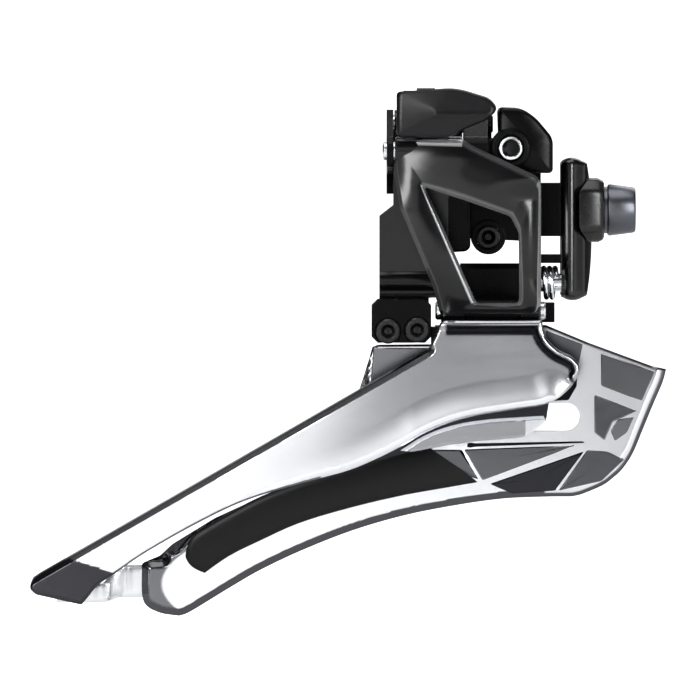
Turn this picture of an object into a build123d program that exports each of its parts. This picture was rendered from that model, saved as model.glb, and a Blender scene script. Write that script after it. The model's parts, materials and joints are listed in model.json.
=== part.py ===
from build123d import *
import math
import os

# Braze-on front derailleur for a road bicycle, in millimetres.
# +X points forwards along the bicycle, +Y points inboard towards the frame, +Z points up.
# The origin is on the axis of the clamp bolt, at the crest of the convex saddle that meets the frame's hanger.
# The rest pose is the low position, with the cage inboard and the return spring holding the linkage on its stop.

# Linkage, in the YZ plane: a parallelogram of two equal links hangs the cage from the bracket
LINK_LENGTH = 26.4
REST_ANGLE = 4.0                      # the links lean inboard at their lower ends
OUTER_FOOT = (-21.5, -16.3)           # outer link's lower pin, as (y, z)
LINK_SPACING = (10.5, 4.4)            # from an outer pin to its inner pin
LEAN = (-LINK_LENGTH * math.sin(math.radians(REST_ANGLE)), LINK_LENGTH * math.cos(math.radians(REST_ANGLE)))


def shifted(point, step):
    return (point[0] + step[0], point[1] + step[1])


OUTER_TOP = shifted(OUTER_FOOT, LEAN)
INNER_FOOT = shifted(OUTER_FOOT, LINK_SPACING)
INNER_TOP = shifted(OUTER_TOP, LINK_SPACING)
ARM_PIVOT = (-7.4, 10.2)              # the cable arm's pin in the bracket
CRANK = (0.3, 8.4)                    # from a pivot up to its toggle pin, on the outer link and on the cable arm
TOGGLE_OUT = shifted(OUTER_TOP, CRANK)
TOGGLE_IN = shifted(ARM_PIVOT, CRANK)

# Fits and fasteners
PIN_R = 1.5
TOGGLE_PIN_R = 1.1
RUNNING = 0.05                        # radial clearance of a turning fit
SEAT = 0.02                           # radial clearance of a fixed fit
BUSH_WALL = 0.45
KNUCKLE_R = 2.45
SIDE_PLAY = 0.2                       # end float between a link and its ears

# Stations along X
REAR_EAR = (-34.2, -33.1)
MID_EAR = (-21.5, -17.5)
LINK_SPAN = (REAR_EAR[1] + SIDE_PLAY, MID_EAR[0] - SIDE_PLAY)
CHEEKS = ((-31.4, -29.4), (-26.0, -24.0))
TOGGLE_SPAN = (-29.2, -26.2)
HOUSING_SPAN = (-22.0, -9.5)
INNER_FOOT_SPAN = (-35.4, HOUSING_SPAN[0] - SIDE_PLAY)

# Cage: two plates that face each other across the chain
PLATE_FACE_OUT = -24.15               # chain side of the outer plate, at the hinge
PLATE_FACE_IN = -12.25                # chain side of the inner plate, at the hinge
OUTER_FLANGE = 1.2
BLADE_DEPTH = 3.5
INNER_SHEET = 1.3
FLARE_X = -8.5                        # the plates flare apart behind this station
OUTER_FLARE = 2.0                     # degrees
INNER_FLARE = -1.3
TAIL_SCREW = (-70.8, -61.5)           # (x, z)
STRAP_END = -67.0
STRAP_BEND = -75.4
STRAP_GAUGE = 1.35

# Mounting
SADDLE_R = 9.0
SADDLE_HALF_WIDTH = 5.5
CLAMP_R = 2.5
SUPPORT_XZ = (-17.3, -4.4)
SUPPORT_R = 2.0
ADJUSTER_XZ = (-13.8, 10.5)
LIMIT_SCREWS = {"low_limit_screw": (-34.0, -19.6), "high_limit_screw": (-29.2, -19.4)}
LIMIT_SCREW_R = 1.45

# Return spring round the front end of the inner lower pin
SPRING_WIRE = 0.45                    # radius of the wire
SPRING_R = 2.4
SPRING_PITCH = 0.98
SPRING_TURNS = 2.25
SPRING_START = -8.3

# Cable anchor on the arm's inboard end
ANCHOR_FACE = 6.0
ANCHOR_XZ = (-27.6, 11.0)
ANCHOR_R = 2.5
CABLE_R = 0.6
CABLE_X = -24.3


def box(x, y, z):
    """Block between three pairs of limits."""
    return Pos((x[0] + x[1]) / 2, (y[0] + y[1]) / 2, (z[0] + z[1]) / 2) * Box(x[1] - x[0], y[1] - y[0], z[1] - z[0])


def x_rod(radius, x, yz):
    """Cylinder along X."""
    return Pos((x[0] + x[1]) / 2, yz[0], yz[1]) * Rot(0, 90, 0) * Cylinder(radius, x[1] - x[0])


def y_rod(radius, y, xz):
    """Cylinder along Y."""
    return Pos(xz[0], (y[0] + y[1]) / 2, xz[1]) * Rot(90, 0, 0) * Cylinder(radius, y[1] - y[0])


def side_slab(edges, y):
    """Slab whose outline lies in the XZ plane, between two Y limits."""
    face = Plane.XZ * make_face(edges)
    return Pos(0, y[0], 0) * extrude(face, amount=y[1] - y[0], dir=(0, 1, 0))


def end_slab(points, x):
    """Slab whose outline of (y, z) points lies across X, between two X limits."""
    face = Plane.YZ * make_face(Polyline(*points, close=True))
    return Pos(x[0], 0, 0) * extrude(face, amount=x[1] - x[0], dir=(1, 0, 0))


def polygon(*points):
    return Polyline(*points, close=True)


def hex_socket(across, depth):
    """Hexagonal pocket, open at z = 0 and running down."""
    return extrude(RegularPolygon(across / 2, 6, major_radius=False), amount=-depth)


def screw(radius, length, head_r, head_h, socket, socket_depth, taper=0.3):
    """Cap screw along Z: the head stands on z = 0 and the shank runs down."""
    head = chamfer(Cylinder(head_r, head_h, align=(Align.CENTER, Align.CENTER, Align.MIN)).edges().group_by(Axis.Z)[-1],
                   taper)
    shank = Cylinder(radius, length, align=(Align.CENTER, Align.CENTER, Align.MAX))
    shank = chamfer(shank.edges().group_by(Axis.Z)[0], 0.3)
    return head + shank - Pos(0, 0, head_h) * hex_socket(socket, socket_depth)


def flared(shape, face, degrees):
    """Turns a cage plate about a vertical axis at the hinge, so that the plates part towards the tail."""
    return Pos(FLARE_X, face, 0) * Rot(0, 0, degrees) * Pos(-FLARE_X, -face, 0) * shape


def plate_axis_y(face_y, x, degrees):
    """Where a flared plate's face lies at station x."""
    return face_y + (x - FLARE_X) * math.tan(math.radians(degrees))


# ---- bracket ------------------------------------------------------------------------------------------------

def saddle():
    """Tall pad whose front is part of a vertical cylinder, so that the derailleur can be turned to aim the cage."""
    side = polygon((-5.2, -14.2), (-4.4, -15.0), (0, -15.0), (0, 8.7), (-4.6, 8.7), (-5.2, 7.9))
    pad = side_slab(side, (-SADDLE_HALF_WIDTH, SADDLE_HALF_WIDTH))
    front = Pos(-SADDLE_R, 0, -3) * Cylinder(SADDLE_R, 30)
    pad = pad & (front + box((-12, -4.0), (-8, 8), (-20, 12)))
    corners = fillet(box((-20, 4), (-SADDLE_HALF_WIDTH, SADDLE_HALF_WIDTH), (-15.0, 8.7)).edges().filter_by(Axis.X), 1.6)
    return pad & corners


def pivot_ear(x):
    """Cheek that carries the three upper pins."""
    profile = [(-25.6, 10.0), (-24.9, 8.0), (-23.3, 7.4), (-12.0, 6.2), (-9.0, 2.8), (-5.0, 2.8), (-4.6, 8.6),
               (-4.9, 11.4), (-6.6, 12.8), (-10.0, 14.2), (-10.9, 16.0), (-13.6, 16.8), (-15.2, 15.6), (-22.0, 12.4),
               (-24.4, 12.3), (-25.5, 11.2)]
    return end_slab(profile, x)


def base_saddle():
    return saddle() - x_rod(CLAMP_R + SEAT, (-12.5, 1.0), (0, 0))


def adjuster_block():
    """Housing of the cable adjust bolt, with a raised ring round the bolt's mouth."""
    edge = polygon((-15.6, 17.2), (-11.8, 17.1), (-9.8, 15.4), (-6.9, 12.2), (-6.9, 6.4), (-14.6, 6.4), (-15.6, 8.0))
    block = side_slab(edge, (-24.5, -8.5)) + y_rod(3.3, (-24.9, -24.4), ADJUSTER_XZ)
    return block - y_rod(1.7 + SEAT, (-26, -17.0), ADJUSTER_XZ)


def base_bracket():
    """Everything between the saddle and the three upper pins."""
    spine = side_slab(polygon((-22.6, 6.9), (-22.6, -2.4), (-20.6, -4.6), (-12.0, -5.0), (-8.6, -4.3), (-8.6, 7.0)),
                      (-8.5, 3.0))
    neck = box((-9.5, -4.4), (-4.6, 4.6), (-4.3, 4.5))
    boss = y_rod(2.85, (-9.2, 3.4), SUPPORT_XZ)
    tie = box((-17.6, -8.6), (-8.5, 3.0), (4.0, 8.0))
    tie += box((-17.6, -8.6), (-8.5, 0.0), (8.0, 12.0))
    rail = box((REAR_EAR[0], MID_EAR[0] + 1), (-9.0, -5.0), (2.8, 6.1))
    shelf = box((MID_EAR[1] - 0.1, -15.0), (-24.0, -9.0), (6.8, 11.8))
    body = neck + spine + boss + tie + rail + shelf
    body += pivot_ear(REAR_EAR) + pivot_ear(MID_EAR)
    body = body - adjuster_block() - saddle()
    for pivot in (OUTER_TOP, INNER_TOP, ARM_PIVOT):
        body -= x_rod(PIN_R + SEAT, (REAR_EAR[0] - 1, MID_EAR[1]), pivot)
    body -= x_rod(CLAMP_R + SEAT, (-12.5, 1.0), (0, 0))
    body -= y_rod(SUPPORT_R + SEAT, (-10, 4), SUPPORT_XZ)
    return body - y_rod(1.7 + SEAT, (-26, -17.0), ADJUSTER_XZ)


def clamp_bolt():
    head = Pos(2.9, 0, 0) * Rot(0, 90, 0) * Cone(4.3, 3.75, 4.4, align=(Align.CENTER, Align.CENTER, Align.MIN))
    collar = x_rod(3.9, (2.05, 3.2), (0, 0))
    shank = x_rod(CLAMP_R, (-11.8, 2.5), (0, 0))
    socket = Pos(7.3, 0, 0) * Rot(0, 90, 0) * hex_socket(4.0, 2.6)
    return head + collar + shank - socket


def clamp_washer():
    """Washer whose hollow back nests on the saddle, or on the frame's hanger when it is fitted."""
    corner = 1.4
    side = polygon((-2.5, -3.9), (-1.2, -5.3), (2.0 - corner / 2, -5.3), (2.0, -4.8), (2.0, 4.8), (2.0 - corner / 2, 5.3),
                   (-1.2, 5.3), (-2.5, 3.9))
    face = polygon((-6.2, -3.0), (-4.0, -5.3), (4.0, -5.3), (6.2, -3.0), (6.2, 3.0), (4.0, 5.3), (-4.0, 5.3), (-6.2, 3.0))
    pad = side_slab(side, (-6.2, 6.2)) & extrude(Plane.YZ.offset(-4) * make_face(face), amount=8)
    hollow = Pos(-SADDLE_R, 0, 0) * Cylinder(SADDLE_R + 0.02, 30)
    return pad - hollow - x_rod(CLAMP_R + 0.3, (-4, 4), (0, 0))


def support_bolt():
    tip = y_rod(1.3, (5.6, 6.6), SUPPORT_XZ)
    rod = y_rod(SUPPORT_R, (-9.6, 5.7), SUPPORT_XZ)
    socket = Pos(SUPPORT_XZ[0], -9.6, SUPPORT_XZ[1]) * Rot(90, 0, 0) * hex_socket(2.0, 2.4)
    return rod + tip - socket


def cable_adjust_bolt():
    """Turned with a key from the drive side to trim the cable's tension."""
    bolt = screw(1.7, 7.2, 2.0, 0.7, 2.0, 2.2, 0.25)
    return Pos(ADJUSTER_XZ[0], -24.92, ADJUSTER_XZ[1]) * Rot(90, 0, 0) * bolt


# ---- pins, bushes and clips ---------------------------------------------------------------------------------

def pin(x, pivot, radius=PIN_R):
    rod = x_rod(radius, x, pivot)
    return chamfer(rod.edges().filter_by(GeomType.CIRCLE), 0.25)


def bush_pair(x, pivot):
    """Two thin bushes pressed into the ends of a knuckle."""
    length = (x[1] - x[0]) * 0.36
    ends = ((x[0], x[0] + length), (x[1] - length, x[1]))
    tube = [x_rod(PIN_R + BUSH_WALL, end, pivot) - x_rod(PIN_R + RUNNING, (end[0] - 1, end[1] + 1), pivot) for end in ends]
    return Compound(tube)


def bored_knuckle(shape, x, pivot):
    """Cuts the seat of a bush pair, with clearance for the pin between the bushes."""
    shape -= x_rod(PIN_R + BUSH_WALL + SEAT, (x[0] - 1, x[1] + 1), pivot)
    return shape


def retaining_clip(x, pivot):
    """Open ring in a pin's end groove."""
    ring = x_rod(2.5, (x, x + 0.6), pivot) - x_rod(PIN_R + 0.03, (x - 1, x + 2), pivot)
    slot = box((x - 1, x + 2), (pivot[0] - 0.7, pivot[0] + 0.7), (pivot[1] - 4, pivot[1]))
    return ring - slot


# ---- outer link ---------------------------------------------------------------------------------------------

def outer_link():
    """Triangular frame between the upper and lower outer pins, with a clevis above for the toggle."""
    profile = [(-25.8, 12.2), (-27.2, 10.0), (-27.5, 4.0), (-27.3, -4.0), (-26.3, -11.0), (-24.4, -15.6), (-23.9, -16.3),
               (-21.5, -16.0), (-21.5, -13.6), (-23.6, -9.0), (-24.6, 0.0), (-24.4, 6.0), (-22.0, 8.4), (-22.0, 12.2)]
    outline = Polyline((-33.0, 12.2), (-21.4, 12.0), (-18.6, 9.8), (-9.6, 6.0), (-8.8, 4.6), (-8.8, -17.4), (-25.4, -17.4),
                       (-26.7, -12.0), (-29.2, -6.0), (-32.0, 0.6), (-33.0, 6.4), close=True)
    window = Polyline((-27.6, 4.0), (-14.2, -0.6), (-12.4, -3.4), (-12.4, -15.0), (-19.8, -15.0), close=True)
    shell = end_slab(profile, (-33.1, -8.8)) & side_slab(outline, (-30, -20))
    shell -= side_slab(window, (-30, -18))
    shell -= box((-18.0, -8.0), (-25.2, -18.0), (-2.0, 14.0))
    top_knuckle = x_rod(KNUCKLE_R, LINK_SPAN, OUTER_TOP)
    link = shell + top_knuckle
    link -= x_rod(KNUCKLE_R + 0.35, (LINK_SPAN[1], -17.3), OUTER_TOP)
    crank = [(-25.2, 9.5), (-24.6, 18.6), (-23.9, 19.7), (-22.2, 19.7), (-21.5, 18.6), (-21.2, 10.5)]
    for cheek in CHEEKS:
        link += end_slab(crank, cheek)
    for x in OUTER_FOOT_KNUCKLES:
        link += x_rod(KNUCKLE_R, x, OUTER_FOOT)
    link -= box((BRACKET_KNUCKLE[0] - SIDE_PLAY, BRACKET_KNUCKLE[1] + SIDE_PLAY), (-24.3, -18.0), (-19.0, -13.2))
    link = bored_knuckle(link, LINK_SPAN, OUTER_TOP)
    link -= x_rod(PIN_R + SEAT, (-27, -8), OUTER_FOOT)
    link -= x_rod(TOGGLE_PIN_R + SEAT, (-32, -23), TOGGLE_OUT)
    return link


OUTER_FOOT_KNUCKLES = ((-25.4, -21.2), (-12.4, -8.8))
BRACKET_KNUCKLE = (-21.0, -12.6)


def link_cap():
    """Moulded cover over the toggle's outer pin."""
    edge = polygon((-32.6, 19.7), (-22.7, 20.5), (-17.0, 18.6), (-15.9, 17.2), (-16.2, 15.8), (-18.6, 14.6),
                   (-21.2, 13.8), (-24.0, 12.3), (-32.6, 12.3))
    front = side_slab(edge, (-27.6, -25.5))
    hood = end_slab([(-27.6, 18.0), (-27.0, 20.6), (-20.6, 20.6), (-20.6, 19.9), (-25.4, 19.9), (-25.4, 18.0)],
                    (-32.6, -23.0)) & side_slab(edge, (-28, -20))
    toggle_way = box((TOGGLE_SPAN[0] - 0.5, TOGGLE_SPAN[1] + 0.5), (-25.6, -20.0), (17.0, 21.0))
    return front + hood - toggle_way


# ---- inner link ---------------------------------------------------------------------------------------------

def inner_link():
    """Plate between the inner pins, with a short tail below that the limit screws meet."""
    lean = math.tan(math.radians(REST_ANGLE))
    half = 1.5
    top_y, top_z = INNER_TOP
    foot_y, foot_z = INNER_FOOT
    profile = [(top_y - half, top_z), (foot_y - half, foot_z), (foot_y - half + 8 * lean, foot_z - 8.6),
               (foot_y + half, foot_z - 8.6), (foot_y + half, foot_z), (top_y + half, top_z)]
    outline = Polyline((-33.1, 14.6), (-21.7, 14.6), (-21.7, 9.0), (-24.0, 2.0), (-24.0, -6.0), (-22.4, -9.0),
                       (-22.4, -14.0), (-27.2, -14.4), (-27.2, -20.5), (-35.4, -20.5), (-35.4, -0.8), (-33.1, 1.0),
                       close=True)
    link = end_slab(profile, (-35.4, -21.7)) & side_slab(outline, (-20, 0))
    link += x_rod(2.3, LINK_SPAN, INNER_TOP) + x_rod(2.5, INNER_FOOT_SPAN, INNER_FOOT)
    link = bored_knuckle(link, LINK_SPAN, INNER_TOP)
    return bored_knuckle(link, INNER_FOOT_SPAN, INNER_FOOT)


# ---- cage ---------------------------------------------------------------------------------------------------

def limit_screw_block():
    """Block that carries the two limit screws side by side."""
    block = box((-36.7, -26.9), (-25.3, -17.4), (-21.5, -14.4))
    block = chamfer(block.edges().filter_by(Axis.Y), 1.0)
    for spot in LIMIT_SCREWS.values():
        block -= y_rod(LIMIT_SCREW_R + SEAT, (-26, -10), spot)
        block -= y_rod(2.15, (-26, -24.26), spot)
    return block


def hinge_bracket():
    """Carrier between the links' lower pins and the two cage plates. The chain runs under its roof."""
    roof = box((-26.2, -9.0), (PLATE_FACE_OUT + 0.02, PLATE_FACE_IN - 0.02), (-22.4, -18.9))
    knuckle = x_rod(KNUCKLE_R, BRACKET_KNUCKLE, OUTER_FOOT) + box(BRACKET_KNUCKLE, (-23.0, -19.6), (-19.5, -16.3))
    housing = box(HOUSING_SPAN, (-13.9, -8.6), (-18.4, -8.7)) + box(HOUSING_SPAN, (-16.5, -12.3), (-19.2, -15.0))
    housing = chamfer(housing.edges().filter_by(Axis.X).group_by(Axis.Z)[-1], 0.8)
    lip = box((-9.6, -5.3), (-13.6, -8.8), (-8.6, -7.2))
    column = box((-9.6, -6.4), (-13.9, -8.6), (-18.4, -15.2)) + box((-9.6, -9.0), (-13.9, -8.6), (-16, -7.4))
    link_tab = box((-26.9, -25.8), (-24.1, -17.6), (-21.9, -19.0))
    body = roof + knuckle + housing + lip + column + link_tab - limit_screw_block()
    body -= x_rod(PIN_R + RUNNING, (-27, -8), OUTER_FOOT)
    body -= x_rod(PIN_R + SEAT, (-23, -4), INNER_FOOT)
    for spot in OUTER_RIVETS:
        body -= y_rod(RIVET_R + SEAT, (-25, -21.5), spot)
    for spot in INNER_RIVETS:
        body -= y_rod(RIVET_R + SEAT, (-15, -11), spot)
    return body


RIVET_R = 1.2
OUTER_RIVETS = ((-22.0, -20.7), (-12.5, -20.7))
INNER_RIVETS = ((-21.5, -20.7), (-13.0, -20.7))


def outer_plate_edge():
    """Whole outline of the outer plate: the blade, and the thin flange under it that holds the chain in."""
    top = [Line((-25.6, -17.8), (-8.6, -17.8)), Line((-8.6, -17.8), (-8.2, -20.6)),
           Spline((-8.2, -20.6), (-6.2, -22.6), (-3.6, -23.9), (-2.5, -25.8), (-3.6, -28.2), (-5.9, -30.9))]
    lower = [Line((-5.9, -30.9), (-8.0, -34.4)), Line((-8.0, -34.4), (-11.2, -36.8)),
             Spline((-11.2, -36.8), (-29.2, -39.0), (-41.0, -42.8), (-57.5, -47.4), (-73.5, -55.6), (-81.8, -61.4))]
    tail = [Line((-81.8, -61.4), (-84.4, -64.5)), Line((-84.4, -64.5), (-92.0, -62.4)),
            Line((-92.0, -62.4), (-92.8, -61.0)), Line((-92.8, -61.0), (-91.4, -59.2)),
            Line((-91.4, -59.2), (-27.3, -22.5)), Line((-27.3, -22.5), (-26.2, -20.4)),
            Line((-26.2, -20.4), (-25.6, -17.8))]
    return top + lower + tail


def blade_lower_side():
    """Everything below the blade's rounded lower ridge, to cut it away above the flange."""
    ridge = Spline((-4.0, -31.6), (-7.6, -32.2), (-15.2, -33.0), (-23.5, -34.7), (-29.3, -36.8), (-35.2, -39.6),
                   (-41.5, -43.4))
    return [ridge, Line((-41.5, -43.4), (-41.5, -50)), Line((-41.5, -50), (-4.0, -50)), Line((-4.0, -50), (-4.0, -31.6))]


def outer_plate():
    face = PLATE_FACE_OUT
    plate = side_slab(outer_plate_edge(), (face - BLADE_DEPTH, face))
    plate -= side_slab(blade_lower_side(), (face - BLADE_DEPTH - 1, face - OUTER_FLANGE))
    field = Polyline((-24.0, -19.4), (-10.2, -19.4), (-9.6, -21.6), (-4.6, -25.6), (-7.4, -30.4), (-16.0, -31.6),
                     (-28.0, -34.4), (-42.0, -38.6), (-42.0, -32.6), (-27.0, -23.6), close=True)
    plate -= side_slab(field, (face - BLADE_DEPTH - 1, face - BLADE_DEPTH + 0.7))
    plate = flared(plate, face, OUTER_FLARE)
    for spot in OUTER_RIVETS:
        plate -= y_rod(RIVET_R + SEAT, (face - 2, face + 1), spot)
    return plate


def inner_plate_edge():
    front = [Line((-26.0, -18.9), (-7.8, -18.9)), Line((-7.8, -18.9), (10.2, -25.6)), Line((10.2, -25.6), (12.2, -26.0)),
             Line((12.2, -26.0), (6.6, -40.2)), Spline((6.6, -40.2), (2.4, -45.0), (-5.4, -47.3)),
             Spline((-5.4, -47.3), (-31.8, -50.6), (-48.5, -56.3), (-66.6, -66.4))]
    rear = [Line((-66.6, -66.4), (-68.6, -67.2)), Line((-68.6, -67.2), (-74.8, -65.4)),
            Line((-74.8, -65.4), (-74.8, -58.2)), Line((-74.8, -58.2), (-71.0, -57.8)),
            Spline((-71.0, -57.8), (-67.4, -54.6), (-56.0, -47.6), (-45.0, -42.4), (-38.6, -35.6), (-37.2, -27.6)),
            Line((-37.2, -27.6), (-37.2, -22.4)), Line((-37.2, -22.4), (-27.0, -22.2)), Line((-27.0, -22.2), (-26.0, -18.9))]
    return front + rear


def lower_rim():
    """Raised bead that follows the inner plate's lower edge."""
    return [Spline((-9.0, -46.6), (-31.8, -50.1), (-48.5, -55.8), (-66.6, -66.0)),
            ThreePointArc((-66.6, -66.0), (-72.4, -65.6), (-73.0, -60.4)),
            Line((-73.0, -60.4), (-66.0, -59.6)),
            Spline((-66.0, -59.6), (-48.5, -52.2), (-31.8, -47.0), (-14.0, -44.6)),
            Line((-14.0, -44.6), (-9.0, -46.6))]


def inner_plate():
    face = PLATE_FACE_IN
    sheet = side_slab(inner_plate_edge(), (face, face + INNER_SHEET))
    sheet += side_slab(lower_rim(), (face - 0.9, face + 0.3))
    ramp = polygon((-18.3, -45.0), (-14.0, -46.6), (-1.6, -46.2), (5.0, -41.2), (1.6, -37.8), (-1.4, -38.2))
    sheet += side_slab(ramp, (face - 0.7, face + 0.3))
    panel = polygon((-0.2, -22.8), (10.4, -26.4), (8.0, -32.8), (-0.2, -29.6))
    sheet -= side_slab(panel, (face - 1, face + 0.5))
    slot = SlotOverall(11.4, 4.6)
    sheet -= extrude(Plane.XZ.offset(-(face + 5)) * Pos(-7.9, -34.1) * slot, amount=10)
    sheet = flared(sheet, face, INNER_FLARE)
    for spot in INNER_RIVETS:
        sheet -= y_rod(RIVET_R + SEAT, (face - 1, face + 3), spot)
    return sheet - y_rod(1.5 + SEAT, (plate_axis_y(face, TAIL_SCREW[0], INNER_FLARE) - 0.4, 0), TAIL_SCREW)


def skid_plate():
    """Thin resin pad on the inner plate that the chain rubs on."""
    face = PLATE_FACE_IN
    edge = [ThreePointArc((-64.6, -58.4), (-67.0, -57.2), (-66.8, -54.9)),
            Spline((-66.8, -54.9), (-55.6, -48.2), (-44.6, -43.2), (-36.0, -40.2), (-27.4, -38.6)),
            Line((-27.4, -38.6), (-18.8, -44.2)), Line((-18.8, -44.2), (-24.6, -45.2)),
            Spline((-24.6, -45.2), (-31.8, -46.6), (-48.5, -51.7), (-64.6, -58.4))]
    pad = side_slab(edge, (face - 0.62, face - 0.02))
    return flared(pad, face, INNER_FLARE)


def tail_bridge():
    """Bent steel strap that closes the cage's tail below the chain. It is screwed to the inner plate's back."""
    near = plate_axis_y(PLATE_FACE_IN, STRAP_END, INNER_FLARE) + INNER_SHEET + 0.03
    bend = plate_axis_y(PLATE_FACE_IN, STRAP_BEND, INNER_FLARE) + INNER_SHEET + 0.03
    far = plate_axis_y(PLATE_FACE_OUT, -85.2, OUTER_FLARE) + 0.03
    tip = plate_axis_y(PLATE_FACE_OUT, -88.6, OUTER_FLARE) + 0.03
    plan = Polyline((STRAP_END, near), (STRAP_BEND, bend), (-85.2, far), (-88.6, tip), (-88.6, tip + STRAP_GAUGE),
                    (-86.0, far + STRAP_GAUGE), (STRAP_BEND - 0.8, bend + STRAP_GAUGE), (STRAP_END, near + STRAP_GAUGE),
                    close=True)
    strap = Pos(0, 0, -64.2) * extrude(make_face(plan), amount=5.4)
    return strap - y_rod(1.5 + SEAT, (-20, 0), TAIL_SCREW)


def tail_screw():
    face = plate_axis_y(PLATE_FACE_IN, TAIL_SCREW[0], INNER_FLARE) + INNER_SHEET + STRAP_GAUGE + 0.12
    bolt = screw(1.5, 3.0, 2.6, 1.4, 2.0, 1.0)
    return Pos(TAIL_SCREW[0], face, TAIL_SCREW[1]) * Rot(-90, 0, 0) * bolt


def rivets(spots, y, head):
    """Blind rivets along Y, with a low head on one side or none."""
    made = []
    for spot in spots:
        rivet = y_rod(RIVET_R, y, spot)
        if head:
            rivet += y_rod(RIVET_R + 0.8, (y[1], y[1] + head), spot)
        made.append(rivet)
    return Compound(made)


def limit_screw(spot):
    bolt = screw(LIMIT_SCREW_R, 7.4, 2.05, 1.7, 2.0, 1.6, 0.25)
    return Pos(spot[0], -24.28, spot[1]) * Rot(90, 0, 0) * bolt


def return_spring():
    """Torsion spring round the front end of the inner lower pin."""
    path = Helix(SPRING_PITCH, SPRING_PITCH * SPRING_TURNS, SPRING_R)
    coil = sweep(Plane(path @ 0, z_dir=path % 0) * Circle(SPRING_WIRE), path=path)
    return Pos(SPRING_START, INNER_FOOT[0], INNER_FOOT[1]) * Rot(0, 90, 0) * coil


# ---- cable arm and toggle -----------------------------------------------------------------------------------

def cable_arm():
    """Bell crank on the bracket: the cable pulls its inboard end down, and its upper end pulls the toggle."""
    y0, z0 = ARM_PIVOT
    reach = [(y0 - 1.0, z0 - 1.9), (1.0, 8.4), (3.0, 6.8), (ANCHOR_FACE, 6.8), (ANCHOR_FACE, 15.4), (3.0, 15.4),
             (1.0, 12.4), (y0, z0 + 2.2)]
    body = end_slab(reach, (-31.6, -22.9)) + x_rod(2.4, LINK_SPAN, ARM_PIVOT)
    crank = [(y0 - 1.9, z0), (TOGGLE_IN[0] - 1.5, 18.6), (TOGGLE_IN[0] - 0.8, 19.9), (TOGGLE_IN[0] + 0.8, 19.9),
             (TOGGLE_IN[0] + 1.5, 18.6), (y0 + 2.2, z0 + 1)]
    for cheek in CHEEKS:
        body += end_slab(crank, cheek)
    body = bored_knuckle(body, LINK_SPAN, ARM_PIVOT)
    body -= x_rod(TOGGLE_PIN_R + SEAT, (-32, -23), TOGGLE_IN)
    body -= y_rod(ANCHOR_R + SEAT, (0.5, 8), ANCHOR_XZ)
    groove_y = ANCHOR_FACE - CABLE_R
    groove = Pos(CABLE_X, groove_y, 11) * Cylinder(CABLE_R, 20)
    return body - groove - box((CABLE_X - CABLE_R, CABLE_X + CABLE_R), (groove_y, ANCHOR_FACE + 1), (0, 20))


def cable_washer():
    x, z = ANCHOR_XZ
    plate = box((x - 4.0, x + 4.6), (ANCHOR_FACE + 0.02, ANCHOR_FACE + 1.4), (z - 4.0, z + 4.0))
    plate = chamfer(plate.edges().filter_by(Axis.Y), 1.2)
    return plate - y_rod(ANCHOR_R + 0.2, (0, 12), ANCHOR_XZ)


def cable_bolt():
    bolt = screw(ANCHOR_R, 6.4, 4.0, 3.2, 4.0, 2.0, 0.5)
    return Pos(ANCHOR_XZ[0], ANCHOR_FACE + 1.42, ANCHOR_XZ[1]) * Rot(-90, 0, 0) * bolt


def toggle_link():
    """Arched strap from the cable arm's crank to the outer link's crank."""
    y_out, z_out = TOGGLE_OUT
    y_in, z_in = TOGGLE_IN
    strap = end_slab([(y_out, z_out + 0.2), (y_out + 4, z_out + 0.5), (y_in - 4, z_in + 0.5), (y_in, z_in + 0.2),
                      (y_in, z_in + 1.4), (y_in - 3, z_in + 1.75), (y_out + 3, z_out + 1.75), (y_out, z_out + 1.4)],
                     TOGGLE_SPAN)
    body = strap + x_rod(1.4, TOGGLE_SPAN, TOGGLE_OUT) + x_rod(1.4, TOGGLE_SPAN, TOGGLE_IN)
    for pivot in (TOGGLE_OUT, TOGGLE_IN):
        body -= x_rod(TOGGLE_PIN_R + RUNNING, (-32, -20), pivot)
    return body


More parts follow.
